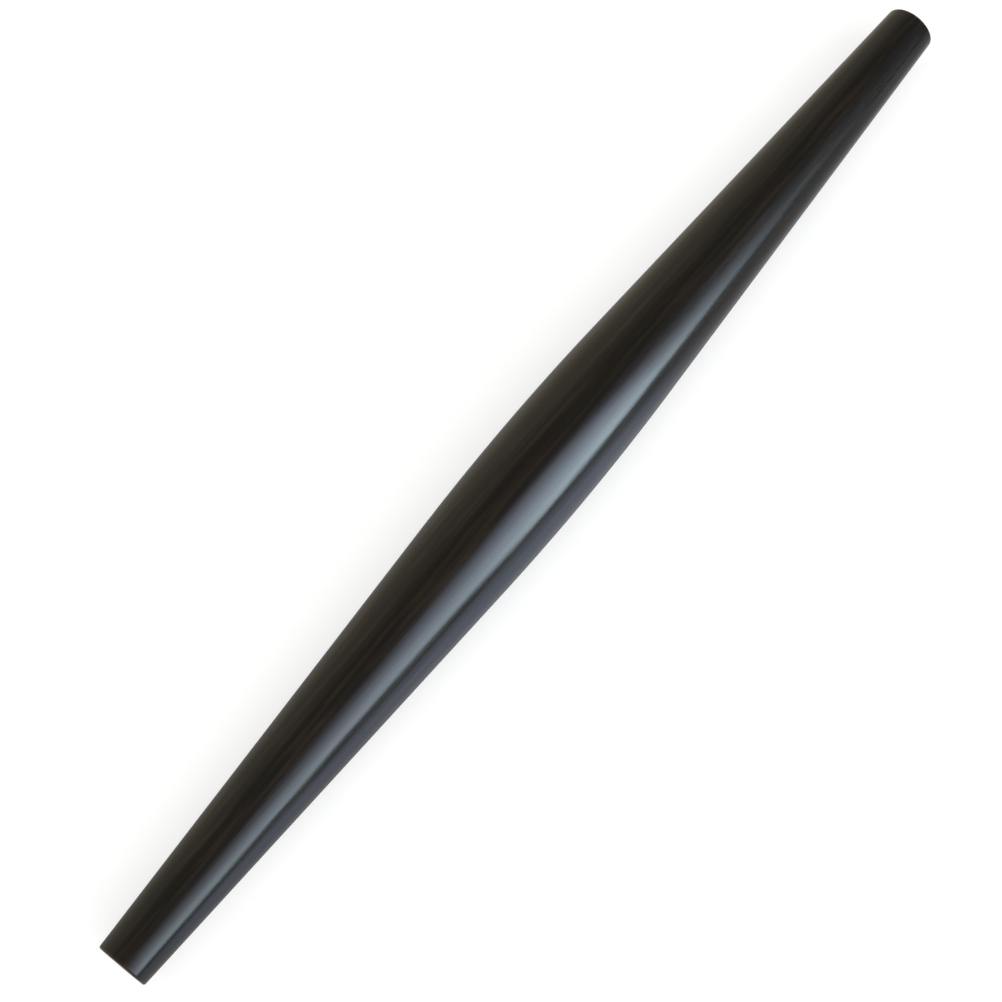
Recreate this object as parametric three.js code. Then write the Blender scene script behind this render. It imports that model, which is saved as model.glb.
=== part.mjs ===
// A tapered rolling pin, turned in one piece from a single length of black hardwood.
//
// It has no handles, axle or sleeve: two straight tapers run out from a rounded belly to
// square-cut ends, and the cook's palms roll the wood itself. The pin lies along X with its
// middle over the origin and its belly resting on Z = 0. All sizes are in millimetres.

import * as THREE from "three";

// Driving dimensions.
const LENGTH = 350; // from end face to end face
const BELLY_DIAMETER = 30; // the greatest diameter, at mid length
const END_DIAMETER = 15; // where the line of the taper meets the end face
const CROWN_LENGTH = 76; // the rounded stretch at mid length, from taper to taper
const RIM_RADIUS = 0.6; // the sanded round-over between a taper and its end face

// How finely the turned surface is faceted.
const SIDES = 52; // flats around the pin
const CROWN_STEPS = 13; // an odd count, so that a level flat lies under the middle
const RIM_STEPS = 4; // flats across each round-over

const HALF_LENGTH = LENGTH / 2;
const HALF_CROWN = CROWN_LENGTH / 2;
const BELLY_RADIUS = BELLY_DIAMETER / 2;
const END_RADIUS = END_DIAMETER / 2;

// The crown is a parabola, radius = belly radius - bow * x * x, that runs smoothly into both
// tapers. Its bow is the one value whose tangent at the shoulder meets the end radius.
const CROWN_BOW = (BELLY_RADIUS - END_RADIUS) / (HALF_CROWN * (LENGTH - HALF_CROWN));
const CROWN_RISE = CROWN_BOW * HALF_CROWN ** 2;
const TAPER_SLOPE = 2 * CROWN_BOW * HALF_CROWN;
const TAPER_ANGLE = Math.atan(TAPER_SLOPE);

// Points of the outline hold the distance from the axis and the place along it.

// The crown, from one shoulder to the other. The tapers, drawn on, cross at its control point.
function crownOutline() {
  const shoulderRadius = BELLY_RADIUS - CROWN_RISE;
  const crown = new THREE.QuadraticBezierCurve(
    new THREE.Vector2(shoulderRadius, -HALF_CROWN),
    new THREE.Vector2(BELLY_RADIUS + CROWN_RISE, 0),
    new THREE.Vector2(shoulderRadius, HALF_CROWN),
  );
  return crown.getPoints(CROWN_STEPS);
}

// The round-over at the end of a taper, then the middle of the flat end face.
function endOutline() {
  const rimCentre = END_RADIUS + RIM_RADIUS * (TAPER_SLOPE - 1 / Math.cos(TAPER_ANGLE));
  const rim = new THREE.EllipseCurve(
    rimCentre,
    HALF_LENGTH - RIM_RADIUS,
    RIM_RADIUS,
    RIM_RADIUS,
    TAPER_ANGLE,
    Math.PI / 2,
  );
  return [...rim.getPoints(RIM_STEPS), new THREE.Vector2(0, HALF_LENGTH)];
}

function pinOutline() {
  const farEnd = endOutline();
  const nearEnd = farEnd.map((point) => new THREE.Vector2(point.x, -point.y)).reverse();
  return [...nearEnd, ...crownOutline(), ...farEnd];
}

function turnedPin() {
  const flatAngle = (2 * Math.PI) / SIDES;
  const turned = new THREE.LatheGeometry(pinOutline(), SIDES, flatAngle / 2);
  const blackWood = new THREE.MeshStandardMaterial({
    color: 0x241f1a,
    roughness: 0.35,
    metalness: 0,
  });
  const pin = new THREE.Mesh(turned, blackWood);
  pin.name = "turned_pin";

  // The lathe turns about Y. Here the pin is laid along X, on the flat under its belly.
  turned.computeBoundingBox();
  pin.rotation.z = -Math.PI / 2;
  pin.position.z = -turned.boundingBox.min.z;
  return pin;
}

const rollingPin = new THREE.Group();
rollingPin.name = "tapered_rolling_pin";
rollingPin.add(turnedPin());

export default rollingPin;
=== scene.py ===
# %% [markdown]
# # A tapered rolling pin
# The real pin is one length of black hardwood, turned on a lathe: a rounded belly in the middle,
# two straight tapers, and two square-cut ends. It has no handles and no axle, so nothing moves.
#
# We load the measured solid first and keep its box. Everything we model afterwards is in metres,
# in the same frame: the pin lies along X, its belly rests on Z = 0, and the softbox hangs on the
# side of -Y.

# %% Load the measured pin
import math

import bmesh
import bpy
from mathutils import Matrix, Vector


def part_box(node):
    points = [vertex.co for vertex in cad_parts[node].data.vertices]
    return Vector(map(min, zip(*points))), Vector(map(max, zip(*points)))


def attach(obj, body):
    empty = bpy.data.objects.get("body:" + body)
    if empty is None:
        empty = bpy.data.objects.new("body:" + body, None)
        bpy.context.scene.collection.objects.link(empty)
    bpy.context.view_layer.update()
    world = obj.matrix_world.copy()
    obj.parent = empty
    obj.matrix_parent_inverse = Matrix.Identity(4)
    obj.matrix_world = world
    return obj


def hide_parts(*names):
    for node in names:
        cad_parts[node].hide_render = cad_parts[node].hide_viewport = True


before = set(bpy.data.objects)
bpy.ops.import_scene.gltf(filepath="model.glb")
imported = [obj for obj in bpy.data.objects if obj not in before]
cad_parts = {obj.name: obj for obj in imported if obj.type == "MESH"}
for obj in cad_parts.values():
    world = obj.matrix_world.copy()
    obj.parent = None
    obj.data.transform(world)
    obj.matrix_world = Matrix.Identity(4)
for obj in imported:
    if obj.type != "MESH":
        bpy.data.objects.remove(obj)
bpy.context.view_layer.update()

low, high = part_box("turned_pin")
print("measured pin from", tuple(low), "to", tuple(high))

# %% [markdown]
# ## The sizes of the turning
# A turner works from very few sizes: the length, the thickest and the thinnest diameter, and how
# long the belly stays rounded before the straight tapers begin. The length and the belly come from
# the frame, so the pin we model can't drift away from the measured one.
#
# The outline could be a list of radii, one for each place. One formula says the same and stays easy
# to change. The rounded stretch is a parabola, and its bow is chosen so that its tangent runs straight
# on to the end of the pin. That makes the change from belly to taper invisible to the palm.

# %% Sizes in metres
PIN_LENGTH = high.x - low.x
BELLY_RADIUS = (high.z - low.z) / 2
AXIS_HEIGHT = (high.z + low.z) / 2
END_RADIUS = 0.0075
CROWN_LENGTH = 0.076

HALF_LENGTH = PIN_LENGTH / 2
HALF_CROWN = CROWN_LENGTH / 2
CROWN_BOW = (BELLY_RADIUS - END_RADIUS) / (HALF_CROWN * (PIN_LENGTH - HALF_CROWN))


def turned_radius(place):
    """The pin's radius at a place along its axis, measured from mid length."""
    reach = abs(place)
    if reach < HALF_CROWN:
        return BELLY_RADIUS - CROWN_BOW * reach**2
    return BELLY_RADIUS + CROWN_BOW * HALF_CROWN * (HALF_CROWN - 2 * reach)


for name, place in (("belly", 0), ("shoulder", HALF_CROWN), ("end", HALF_LENGTH)):
    print(f"radius at the {name}: {1000 * turned_radius(place):.2f} mm")

# %% [markdown]
# ## A round blank
# Turning starts from a round blank as thick as the belly. A cylinder primitive is just that. We
# could also draw half the outline and spin it, but a blank that is cut down ring by ring keeps even,
# square faces along the whole pin, and those carry a smooth highlight.
#
# Loading the frame leaves the measured pin selected, so everything is deselected first. Applying
# the rotation and the location puts the blank's place into its mesh and leaves the object at the
# origin, where patterns on object coordinates stay put.

# %% Add the blank
ROUND_STEPS = 160

bpy.ops.object.select_all(action="DESELECT")
bpy.ops.mesh.primitive_cylinder_add(
    vertices=ROUND_STEPS,
    radius=BELLY_RADIUS,
    depth=PIN_LENGTH,
    end_fill_type="NGON",
    location=(0, 0, AXIS_HEIGHT),
    rotation=(0, math.pi / 2, 0),
)
pin = bpy.context.object
pin.name = "polished_pin"
pin.data.name = "polished_pin"
bpy.ops.object.transform_apply(location=True, rotation=True, scale=True)
print("blank faces:", len(pin.data.polygons))

# %% [markdown]
# ## Cutting the blank into rings
# A straight cylinder has points only at its two ends, so there is nothing to shape between them. By
# hand we would add loop cuts, but those need a window. Subdividing the long edges does the same from
# a script, and adds a ring of points every few millimetres.
#
# An operator works on whatever is selected. So the long edges are picked in code, by where their
# two points lie, and everything else is left out.

# %% Subdivide the long edges
RING_CUTS = 69
SNAP = 1e-6


def pick(elements, wanted):
    """Select only those points, edges or faces of the mesh being edited that are wanted."""
    bpy.ops.mesh.select_all(action="DESELECT")
    for element in elements:
        if wanted(element):
            element.select_set(True)
    mesh.select_flush_mode()
    bmesh.update_edit_mesh(pin.data)


def runs_along(edge):
    start, stop = edge.verts
    return abs(start.co.x - stop.co.x) > SNAP


bpy.ops.object.mode_set(mode="EDIT")
bpy.ops.mesh.select_mode(type="EDGE")
mesh = bmesh.from_edit_mesh(pin.data)
pick(mesh.edges, runs_along)
bpy.ops.mesh.subdivide(number_cuts=RING_CUTS)
ring_gap = PIN_LENGTH / (RING_CUTS + 1)
print(f"{RING_CUTS + 2} rings, one every {1000 * ring_gap:.1f} mm")

# %% [markdown]
# ## Turning the blank down
# Each ring is now scaled about the axis to the radius that the outline has there: one pass of the
# gouge for each ring. Taper modifiers could narrow both halves in one go, but they would leave a ridge
# at the belly in place of the crown.
#
# The operator is told its centre, because without a window it would not know which pivot we mean.

# %% Scale each ring to its radius
bpy.ops.mesh.select_mode(type="VERT")
mesh = bmesh.from_edit_mesh(pin.data)
for ring in range(RING_CUTS + 2):
    place = -HALF_LENGTH + ring * ring_gap
    pick(mesh.verts, lambda point: abs(point.co.x - place) < ring_gap / 2)
    share = turned_radius(place) / BELLY_RADIUS
    bpy.ops.transform.resize(value=(1, share, share), center_override=(place, 0, AXIS_HEIGHT))
print(f"the ends are turned down to {100 * share:.0f} percent of the belly")

# %% [markdown]
# ## The rims
# The ends are sawn square, and the sharp rim is eased with a few strokes of sandpaper. A bump in the
# finish could fake that, but the outline would keep its sharp corner. A bevel of several segments makes
# the round-over as real geometry, so it catches the light from every side.
#
# A narrow inset inside each end face keeps the flat of the face flat when the rim is shaded smooth.

# %% Round over both rims
RIM_RADIUS = 0.0006
RIM_SEGMENTS = 6
ROUND_PROFILE = 0.5
FACE_BORDER = 0.0002
SMOOTH_BELOW = math.radians(30)


def on_rim(edge):
    return all(abs(abs(point.co.x) - HALF_LENGTH) < SNAP for point in edge.verts)


def is_end_face(face):
    return len(face.verts) == ROUND_STEPS


bpy.ops.mesh.select_mode(type="EDGE")
mesh = bmesh.from_edit_mesh(pin.data)
pick(mesh.edges, on_rim)
bpy.ops.mesh.bevel(offset=RIM_RADIUS, segments=RIM_SEGMENTS, profile=ROUND_PROFILE, affect="EDGES")

bpy.ops.mesh.select_mode(type="FACE")
mesh = bmesh.from_edit_mesh(pin.data)
pick(mesh.faces, is_end_face)
bpy.ops.mesh.inset(thickness=FACE_BORDER)

bpy.ops.mesh.select_all(action="SELECT")
bpy.ops.mesh.normals_make_consistent(inside=False)
bpy.ops.object.mode_set(mode="OBJECT")
bpy.ops.object.shade_smooth_by_angle(angle=SMOOTH_BELOW)
print("turned pin:", len(pin.data.polygons), "faces")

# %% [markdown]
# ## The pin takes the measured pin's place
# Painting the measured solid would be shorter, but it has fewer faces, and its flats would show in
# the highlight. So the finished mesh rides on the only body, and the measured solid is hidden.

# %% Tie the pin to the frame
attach(pin, "root")
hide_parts("turned_pin")
print(pin.name, "stands for turned_pin")

# %% [markdown]
# ## Shader maths
# A finish is built from many small sums. Wiring their Math nodes one by one takes many lines and
# hides the sum. Wrapping a socket in a class with the usual operators lets us write plain
# expressions, and each operator adds its own Math node. Every other kind of node comes from one
# method, which sets the node's settings first and its sockets afterwards.

# %% A socket that can be added and multiplied


class Signal:
    """An output of a node tree that can stand in a Python expression."""

    def __init__(self, tree, socket=None):
        self.tree = tree
        self.socket = socket

    def node(self, kind, settings, sockets, output=0):
        """Add a node, set it up, fill its sockets, and hand back one of its outputs."""
        made = self.tree.nodes.new("ShaderNode" + kind)
        for name, value in settings.items():
            setattr(made, name, value)
        for name, value in sockets.items():
            if isinstance(value, Signal):
                value.feed(made.inputs[name])
            else:
                made.inputs[name].default_value = value
        return Signal(self.tree, made.outputs[output])

    def feed(self, socket):
        """Link this signal to a socket."""
        self.tree.links.new(self.socket, socket)

    def math(self, operation, *values):
        """Add a Math node that works on those values."""
        return self.node("Math", {"operation": operation}, dict(enumerate(values)))

    def __add__(self, other):
        return self.math("ADD", self, other)

    def __sub__(self, other):
        return self.math("SUBTRACT", self, other)

    def __rsub__(self, other):
        return self.math("SUBTRACT", other, self)

    def __mul__(self, other):
        return self.math("MULTIPLY", self, other)

    def __pow__(self, other):
        return self.math("POWER", self, other)

    def __abs__(self):
        return self.math("ABSOLUTE", self)

    __radd__ = __add__
    __rmul__ = __mul__

    def part(self, axis):
        """One of the three numbers of a vector: X, Y or Z."""
        return self.node("SeparateXYZ", {}, {"Vector": self}, axis)

    def fade(self, start, stop):
        """Nought at start, one at stop, and a soft curve between them."""
        return self.node(
            "MapRange",
            {"interpolation_type": "SMOOTHSTEP"},
            {"Value": self, "From Min": start, "From Max": stop},
        )

    def between(self, first, second):
        """A colour that goes from first to second as this signal goes from nought to one."""
        # A Mix node names its sockets alike for numbers, vectors and colours, so these go by number.
        return self.node("Mix", {"data_type": "RGBA"}, {0: self, 6: first, 7: second}, output=2)


print("signals can", ", ".join(name for name in vars(Signal) if not name.startswith("_")))

# %% [markdown]
# ## The run of the grain
# Wood is a solid pattern: the streaks along the side and the dots on the end are the same fibres,
# seen lengthwise and cut across. A picture of wood wrapped round the pin would show a seam and
# would not fit the ends. So every layer of this finish is a solid texture on the object coordinates,
# stretched along the grain, and the side and the ends come out right together.
#
# A blank is never sawn quite true to the grain, so the whole pattern leans a little across the axis.

# %% Noise that is stretched along the grain
GRAIN_LEAN = math.radians(1.5)


def grain(place, cell):
    """Object coordinates, counted in cells of that length and width."""
    length, width = cell
    leaning = place.node("Mapping", {}, {"Vector": place, "Rotation": (0, 0, GRAIN_LEAN)})
    count = (1 / length, 1 / width, 1 / width)
    return place.node("Mapping", {}, {"Vector": leaning, "Scale": count})


def clouds(place, cell, detail=2.0):
    """Soft noise, about one half on average."""
    sockets = {"Vector": grain(place, cell), "Scale": 1.0, "Detail": detail}
    return place.node("TexNoise", {}, sockets)


print(f"the grain leans {math.degrees(GRAIN_LEAN):.1f} degrees")

# %% [markdown]
# ## Growth rings and pores
# Growth rings circle the pith of the tree. Thin pins are sawn from a thick log, so the pith lies
# outside the pin and its rings cross the end face as gentle arcs. A Wave texture could draw them,
# with a distortion of its own. A sine of the distance from the pith takes only a few nodes more, and
# lets each ring stray by the same kind of noise that the rest of the grain is made of.
#
# Pores are the cut-open vessels of the wood. Voronoi cells that are drawn out along the grain have
# their points scattered evenly but not in rows, and the near surroundings of each point make a short
# dark groove on the side and a dot on the end.

# %% Rings about the pith, and pores
PITH = Vector((0, -0.030, 0.022))
RING_SPACING = 0.0021
RING_STRAY = 6
RING_CELL = (0.090, 0.006)
PORE_CELL = (0.0045, 0.00042)
PORE_EDGE = (0.05, 0.18)


def growth_rings(place):
    """Waves about the pith, from nought to one."""
    across = place.node("Mapping", {}, {"Vector": place, "Location": -PITH, "Scale": (0, 1, 1)})
    distance = place.node("VectorMath", {"operation": "LENGTH"}, {0: across}, "Value")
    turns = distance * (math.tau / RING_SPACING) + clouds(place, RING_CELL) * RING_STRAY
    return place.math("SINE", turns) * 0.5 + 0.5


def open_pores(place):
    """One in a pore and nought beside it."""
    cells = {"Vector": grain(place, PORE_CELL), "Scale": 1.0}
    distance = place.node("TexVoronoi", {}, cells, "Distance")
    return 1 - distance.fade(*PORE_EDGE)


print(f"{2 * END_RADIUS / RING_SPACING:.0f} rings cross an end face")

# %% [markdown]
# ## The ends
# Two things happen only at the ends. The saw cuts straight across the fibres there, so the face is
# duller than the side, a shade browner, and shows its growth rings best. And every knock lands on the
# rims, where the black wears down to brown in patches.
#
# A second material on the end faces would stop at a hard line. A mask that reads how near a point is
# to the end of the pin can fade.

# %% Sawn faces and worn rims
CUT_DEPTH = 0.0001
WEAR_REACH = 2 * RIM_RADIUS
WEAR_CELL = (0.0025, 0.0025)
WEAR_EDGE = (0.35, 0.65)


def sawn_face(end_gap):
    """One on the flat end faces, and nought from a little further in."""
    return 1 - end_gap.fade(0, CUT_DEPTH)


def worn_rim(place, end_gap):
    """One where the pin has lost its black near an end."""
    patches = clouds(place, WEAR_CELL).fade(*WEAR_EDGE)
    return (1 - end_gap.fade(0, WEAR_REACH)) * patches


print(f"the rims wear within {1000 * WEAR_REACH:.1f} mm of the ends")

# %% [markdown]
# ## The layers of the wood
# One flat black would look like plastic. Broad bands, long streaks, single strands and fine fibres run
# through the real wood, each of its own length and width. We make them once. Colour, gloss and relief
# all draw on the same layers, so that they agree, as they do in wood.

# %% Lay out the layers
BROAD_CELL = (0.120, 0.011)
STREAK_CELL = (0.060, 0.0016)
STRAND_CELL = (0.030, 0.00055)
FIBRE_CELL = (0.009, 0.00018)
STREAK_EDGE = (0.46, 0.72)

oiled_wood = bpy.data.materials.new("oiled_black_wood")
oiled_wood.use_nodes = True
shader = oiled_wood.node_tree.nodes["Principled BSDF"].inputs
spot = Signal(oiled_wood.node_tree).node("TexCoord", {}, {}, "Object")
end_gap = HALF_LENGTH - abs(spot.part("X"))

broad = clouds(spot, BROAD_CELL)
streaks = clouds(spot, STREAK_CELL, detail=3.0).fade(*STREAK_EDGE)
strands = clouds(spot, STRAND_CELL)
fibres = clouds(spot, FIBRE_CELL, detail=1.0)
rings = growth_rings(spot)
pores = open_pores(spot)
sawn = sawn_face(end_gap)
wear = worn_rim(spot, end_gap) * (1 - sawn)
print("the layers take", len(oiled_wood.node_tree.nodes), "nodes")

# %% [markdown]
# ## A black that isn't quite black
# The heartwood is almost black. The layers lighten it by so little that they only show where no light
# is mirrored. On the sawn faces the streaks are cut short and the rings come out. A ramp of many stops
# could hold all the browns. Three mixes in a row are easier to tune: from black to brown, on to the
# worn brown of the rims, and down to the dark of the pores.

# %% Colour the wood
HEARTWOOD = (0.0062, 0.0066, 0.0056, 1)
BROWN_WOOD = (0.0250, 0.0175, 0.0115, 1)
WORN_BROWN = (0.0520, 0.0300, 0.0160, 1)
PORE_SHADE = (0.0030, 0.0025, 0.0020, 1)

STREAK_BROWN = 0.45
BROAD_BROWN = 0.22
RING_BROWN = 0.14
FIBRE_BROWN = 0.10
SAWN_BROWN = 0.15
SAWN_RING_BROWN = 0.75
STREAKS_SAWN_OFF = 0.6
MOST_WEAR = 0.6
MOST_PORE = 0.5

streaky = (streaks * STREAK_BROWN + broad * BROAD_BROWN) * (1 - sawn * STREAKS_SAWN_OFF)
ringed = rings * (RING_BROWN + sawn * SAWN_RING_BROWN)
brown = streaky + ringed + fibres * FIBRE_BROWN + sawn * SAWN_BROWN
wood = brown.between(HEARTWOOD, BROWN_WOOD)
handled = (wear * MOST_WEAR).between(wood, WORN_BROWN)
colour = (pores * MOST_PORE).between(handled, PORE_SHADE)
colour.feed(shader["Base Color"])
print("with the colour it is", len(oiled_wood.node_tree.nodes), "nodes")

# %% [markdown]
# ## An oiled gloss
# Oil leaves a satin that changes from strand to strand, and is duller in the pores and on the sawn
# faces. One roughness for all of it would look like lacquer, so the layers are added to the roughness.
#
# An oiled surface full of fine pores also mirrors less than varnish does, so the specular level is set
# below its usual one half. It is the same all over and sits on the shader's own socket.

# %% Oil the wood
POLISHED = 0.115
BROAD_DULL = 0.06
STRAND_DULL = 0.10
FIBRE_DULL = 0.04
PORE_DULL = 0.08
SAWN_DULL = 0.15
OILED_SHINE = 0.22

grained = POLISHED + broad * BROAD_DULL + strands * STRAND_DULL + fibres * FIBRE_DULL
satin = grained + pores * PORE_DULL + sawn * SAWN_DULL
satin.feed(shader["Roughness"])
shader["Specular IOR Level"].default_value = OILED_SHINE
print("specular level:", OILED_SHINE)

# %% [markdown]
# ## Fibres that can be felt
# Strands and fibres stand up by a few thousandths of a millimetre, and the pores lie as deep. That
# breaks the highlight into faint lines along the grain, which is how the eye tells polished wood from
# plastic. As real geometry it would take millions of faces, so a Bump node tilts the normals instead.
# The heights are in metres, as the rest is.

# %% Raise the fibres
STRAND_HEIGHT = 0.000016
FIBRE_HEIGHT = 0.000004
PORE_DEPTH = 0.000006
RELIEF_STRENGTH = 0.6

height = strands * STRAND_HEIGHT + fibres * FIBRE_HEIGHT - pores * PORE_DEPTH
relief = spot.node("Bump", {}, {"Height": height, "Distance": 1.0, "Strength": RELIEF_STRENGTH})
relief.feed(shader["Normal"])

pin.data.materials.append(oiled_wood)
print("finish:", *pin.data.materials.keys(), "with", len(oiled_wood.node_tree.nodes), "nodes")

# %% [markdown] ## A pale floor The photograph shows the pin cut out on plain white, without a shadow.
# With a white world and no floor, the pin would float and mirror white all round. A light table comes
# nearer: its top glows by itself, so shadows on it wash out. Ours is a matt plane, so large that its
# edge stays out of every picture, and its glow adds to the light that falls on it. The rims of the
# pin mirror hardly any white, so it was probably photographed on something darker and cut out later.
# That is why reflections look through this floor, into a room that we paint further down.

# %% Lay the floor
FLOOR_SIZE = 40.0
FLOOR_PAINT = (0.35, 0.35, 0.35, 1)
FLOOR_GLOW = 0.63

bpy.ops.object.select_all(action="DESELECT")
bpy.ops.mesh.primitive_plane_add(size=FLOOR_SIZE, location=(0, 0, 0))
floor = bpy.context.object
floor.name = "pale_floor"
floor.visible_glossy = False
pale = bpy.data.materials.new("pale_floor")
pale.use_nodes = True
paint = pale.node_tree.nodes["Principled BSDF"].inputs
paint["Base Color"].default_value = FLOOR_PAINT
paint["Roughness"].default_value = 1.0
paint["Specular IOR Level"].default_value = 0.0
paint["Emission Strength"].default_value = FLOOR_GLOW
floor.data.materials.append(pale)
print("floor:", FLOOR_SIZE, "m square")

# %% [markdown]
# ## One big softbox for the shine
# A polished round bar is a mirror that shows the whole room, squeezed into a band. So the shape of
# the highlight is the shape of the lamp: its crisp lower edge is the lower edge of a softbox, and it
# dies before the far end of the pin because the softbox stops there. Several small lamps would leave
# several small spots.
#
# A dark polished thing is lit for its reflections and a table for its tone, so each lamp here does
# only one of the two. With its diffuse rays switched off, a lamp is mirrored but lights nothing. The
# power of an area lamp is spread over its face. We think in brightness, as the mirror does, and work
# the power out from it.

# %% Hang the softbox
BOX_SIZE = (2.60, 2.48)
BOX_MIDDLE = Vector((0.08, -1.56, 1.26))
BOX_TARGET = Vector((BOX_MIDDLE.x, 0, 0))
BOX_BRIGHTNESS = 23.0


def mirrored_lamp(name, size, middle, target, brightness):
    """A rectangular lamp that faces a target and shows only in reflections."""
    width, height = size
    lamp = bpy.data.lights.new(name, "AREA")
    lamp.shape = "RECTANGLE"
    lamp.size = width
    lamp.size_y = height
    lamp.energy = brightness * math.pi * width * height
    stand = bpy.data.objects.new(name, lamp)
    stand.location = middle
    stand.rotation_euler = (target - middle).to_track_quat("-Z", "Y").to_euler()
    stand.visible_camera = False
    stand.visible_diffuse = False
    bpy.context.scene.collection.objects.link(stand)
    print(f"{name}: {lamp.energy:.1f} W")
    return lamp


softbox = mirrored_lamp("softbox", BOX_SIZE, BOX_MIDDLE, BOX_TARGET, BOX_BRIGHTNESS)

# %% [markdown]
# ## The glow of the cloth
# A real softbox isn't even. This one is brightest along its foot and fades upwards, which is why the
# highlight melts into the black on its upper side. It swells from the near side to its brightest spot,
# opposite the belly, and fades upwards more steeply at both sides than in the middle. Its light turns
# bluer with height.
#
# A stack of lamps could imitate that, but its steps would show. Nodes on the lamp itself paint it
# smoothly. Places on the cloth are shares of its width, from the near end of the pin to the far end,
# and of its height, from the foot up.

# %% Paint the glow
COOL_FOOT = (0.80, 1.00, 1.09, 1)
COOL_HEAD = (0.86, 1.00, 1.36, 1)

NEAR_GLOW = 0.3
NEAR_RISE = (0.1, 0.45)
NEAR_SWELL = 0.42
BELLY_RISE = (0.45, 0.8)
BELLY_SWELL = 0.36

NEAR_STEEPNESS = 1.9
BELLY_EASING = (0.3, 0.6)
BELLY_EASED_BY = 0.9
FAR_STEEPENING = (0.75, 0.9)
FAR_STEEPENED_BY = 0.5

softbox.use_nodes = True
cloth = Signal(softbox.node_tree).node("NewGeometry", {}, {}, "Parametric")
sideways = cloth.part("X")
upwards = cloth.part("Y")

swell = NEAR_GLOW + sideways.fade(*NEAR_RISE) * NEAR_SWELL + sideways.fade(*BELLY_RISE) * BELLY_SWELL
eased = NEAR_STEEPNESS - sideways.fade(*BELLY_EASING) * BELLY_EASED_BY
steepness = eased + sideways.fade(*FAR_STEEPENING) * FAR_STEEPENED_BY
uncut_glow = swell * (1 - upwards) ** steepness

emission = softbox.node_tree.nodes["Emission"].inputs
upwards.between(COOL_FOOT, COOL_HEAD).feed(emission["Color"])
print("the glow takes", len(softbox.node_tree.nodes), "nodes")

# %% [markdown]
# ## The edges of the cloth
# The highlight ends in a point towards the far end of the pin, so the far side of the cloth is cut on a
# slant. Opposite the belly a dark line shows under the highlight, as if a low shape stood in front of
# the foot of the softbox and hid part of it. Real flags in front of the lamp would do both. Masks on
# the glow do the same, with an edge as soft as we like.

# %% Trim the cloth
FAR_EDGE = (0.90, 1.00)
FAR_SLANT = 0.19
FOOT_EDGE = (-0.04, 0.02)
HIDDEN_FOOT = 0.16
HIDDEN_FROM = (0.34, 0.46)
HIDDEN_TO = (0.56, 0.68)

far_cut = 1 - (sideways + upwards * FAR_SLANT).fade(*FAR_EDGE)
hidden = (sideways.fade(*HIDDEN_FROM) - sideways.fade(*HIDDEN_TO)) * HIDDEN_FOOT
foot = (upwards - hidden).fade(*FOOT_EDGE)
glow = uncut_glow * far_cut * foot
glow.feed(emission["Strength"])
print("with its edges it is", len(softbox.node_tree.nodes), "nodes")

# %% [markdown]
# ## A cool card for the flank
# Below the highlight, the polish mirrors the table close in front of the pin. From the near end to the
# belly that flank is slate blue, so something blue must lie before it. A photographer would prop up
# a blue card there, just outside the picture. Our lamps are unseen by the camera, so one lamp that
# faces up can lie right where the flank looks. It fades towards both ends and towards the pin, so
# that none of its edges shows.

# %% Lay the cool card
CARD_SIZE = (0.30, 0.198)
CARD_MIDDLE = Vector((-0.06, -0.111, 0.002))
CARD_BRIGHTNESS = 2.3
CARD_BLUE = (0.50, 0.64, 0.96, 1)
CARD_ENDS = (0.5, 1.0)
CARD_BRINK = (0.80, 1.0)

above_card = CARD_MIDDLE + Vector((0, 0, 1))
card = mirrored_lamp("cool_card", CARD_SIZE, CARD_MIDDLE, above_card, CARD_BRIGHTNESS)
card.use_nodes = True
card_face = Signal(card.node_tree).node("NewGeometry", {}, {}, "Parametric")
off_middle = abs(card_face.part("X") * 2 - 1)
pinward = card_face.part("Y")
card_glow = (1 - off_middle.fade(*CARD_ENDS)) * (1 - pinward.fade(*CARD_BRINK))
card_emission = card.node_tree.nodes["Emission"].inputs
card_glow.feed(card_emission["Strength"])
card_emission["Color"].default_value = CARD_BLUE

# %% [markdown]
# ## Two suns for the table
# The table needs an even light that reaches as far as it does, or its far part would turn grey in
# low views. Area lamps fade with distance and sun lamps don't, so the table gets suns, and a sun with
# a wide disc throws a soft shadow. One stands in the direction of the softbox and puts a faint shadow
# behind the pin. The stronger one stands high over the camera's shoulder, so that the pin hides most
# of its own shadow. With their glossy rays switched off, the suns light but aren't mirrored, and the
# black of the wood stays black.

# %% Light the table
KEY_STRENGTH = 1.1
TOP_STRENGTH = 2.65
TOP_DIRECTION = Vector((-0.28, -0.22, 0.94))
SUN_DISC = math.radians(60)


def sun_lamp(name, direction, strength):
    """A sun that stands in that direction and leaves no reflection."""
    lamp = bpy.data.lights.new(name, "SUN")
    lamp.energy = strength
    lamp.angle = SUN_DISC
    stand = bpy.data.objects.new(name, lamp)
    stand.rotation_euler = direction.to_track_quat("Z", "Y").to_euler()
    stand.visible_glossy = False
    bpy.context.scene.collection.objects.link(stand)
    print(f"{name}: {strength} W on each square metre that faces it")


sun_lamp("key_sun", BOX_MIDDLE - BOX_TARGET, KEY_STRENGTH)
sun_lamp("top_sun", TOP_DIRECTION, TOP_STRENGTH)

# %% [markdown]
# ## The room
# Where no lamp is mirrored, the polish mirrors the room, and that gives the dark wood its tones: a
# warm wall behind the pin, a dim cool one all round the rest, and darkness overhead. Below the horizon
# lies the grey table that the flank mirrors. It gets darker straight below and behind, where the pin
# would shade it, and that keeps both rims dark.
#
# We could build these walls, but nobody sees them except in the polish. So the room is only the
# world's colour by direction. For a world, Generated is the direction that a ray looks in, and a part
# of it tells how far the ray heads that way, from -1 to 1.

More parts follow.
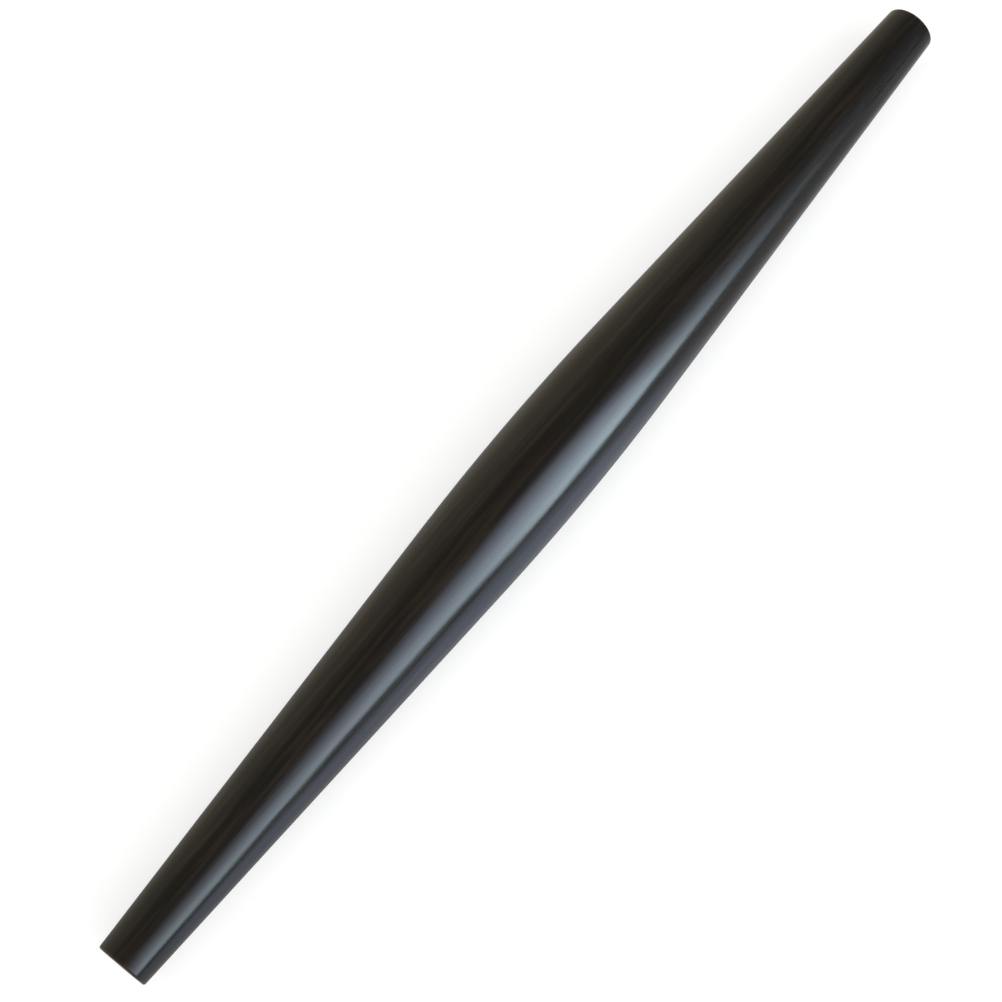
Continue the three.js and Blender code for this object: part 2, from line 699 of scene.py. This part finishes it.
# %% Colour the room
WARM_WALL = (0.82, 0.75, 0.60, 1)
COOL_WALL = (0.10, 0.14, 0.19, 1)
DARK_CEILING = (0.06, 0.06, 0.06, 1)
GREY_TABLE = (0.74, 0.75, 0.78, 1)
TABLE_SHADE = (0.36, 0.36, 0.35, 1)

WALL_TURN = (0.1, 0.6)
HORIZON = (-0.1, 0.0)
CEILING_RISE = (0.45, 1.0)
SHADE_RISE = (0.64, 1.04)
SHADE_LEAN = 0.35

world = bpy.data.worlds.new("room")
world.use_nodes = True
bpy.context.scene.world = world
direction = Signal(world.node_tree).node("TexCoord", {}, {}, "Generated")
backward = direction.part("Y")
skyward = direction.part("Z")
front = skyward.fade(*HORIZON).between(GREY_TABLE, COOL_WALL)
walls = backward.fade(*WALL_TURN).between(front, WARM_WALL)
lidded = skyward.fade(*CEILING_RISE).between(walls, DARK_CEILING)
shade = (backward * SHADE_LEAN - skyward).fade(*SHADE_RISE)
room = shade.between(lidded, TABLE_SHADE)
room.feed(world.node_tree.nodes["Background"].inputs["Color"])
print("room:", len(world.node_tree.nodes), "nodes")

# %% [markdown]
# ## The camera
# The photograph looks steeply down on the pin, which runs from the lower left to the upper right
# and nearly fills the frame. A longish lens from close by makes the near half a little larger than
# the far half. The pin's middle sits slightly right of and above the middle of the picture.
#
# We could turn the pin until it looked right, but then it would leave the frame that it was measured
# in. So the pin stays and the camera moves. Its angles, distance and lens come from a fit to the
# outline of the pin. The standard view transform keeps the white of the table white and the black of
# the wood black.

# %% Set up the camera
VIEW_AZIMUTH = math.radians(-51.75)
VIEW_ELEVATION = math.radians(69.4)
VIEW_DISTANCE = 0.6048
PIN_RIGHT = 0.01267
PIN_ABOVE = 0.01130
LENS_MM = 79.32
SENSOR_MM = 36

lens = bpy.data.cameras.new("camera")
lens.lens = LENS_MM
lens.sensor_width = SENSOR_MM
camera = bpy.data.objects.new("camera", lens)
bpy.context.scene.collection.objects.link(camera)
bpy.context.scene.camera = camera

right = Vector((math.cos(VIEW_AZIMUTH), math.sin(VIEW_AZIMUTH), 0))
level = Vector((0, 0, 1)).cross(right)
back = Vector((0, 0, math.sin(VIEW_ELEVATION))) - level * math.cos(VIEW_ELEVATION)
up = back.cross(right)
pin_middle = Vector((0, 0, AXIS_HEIGHT))
camera.location = pin_middle - PIN_RIGHT * right - PIN_ABOVE * up + VIEW_DISTANCE * back
camera.rotation_euler = back.to_track_quat("Z", "Y").to_euler()
bpy.context.scene.view_settings.view_transform = "Standard"
print("camera at", tuple(round(part, 3) for part in camera.location))

# %% [markdown]
# ## The same box
# The pin we modelled must fill the same box as the measured one.
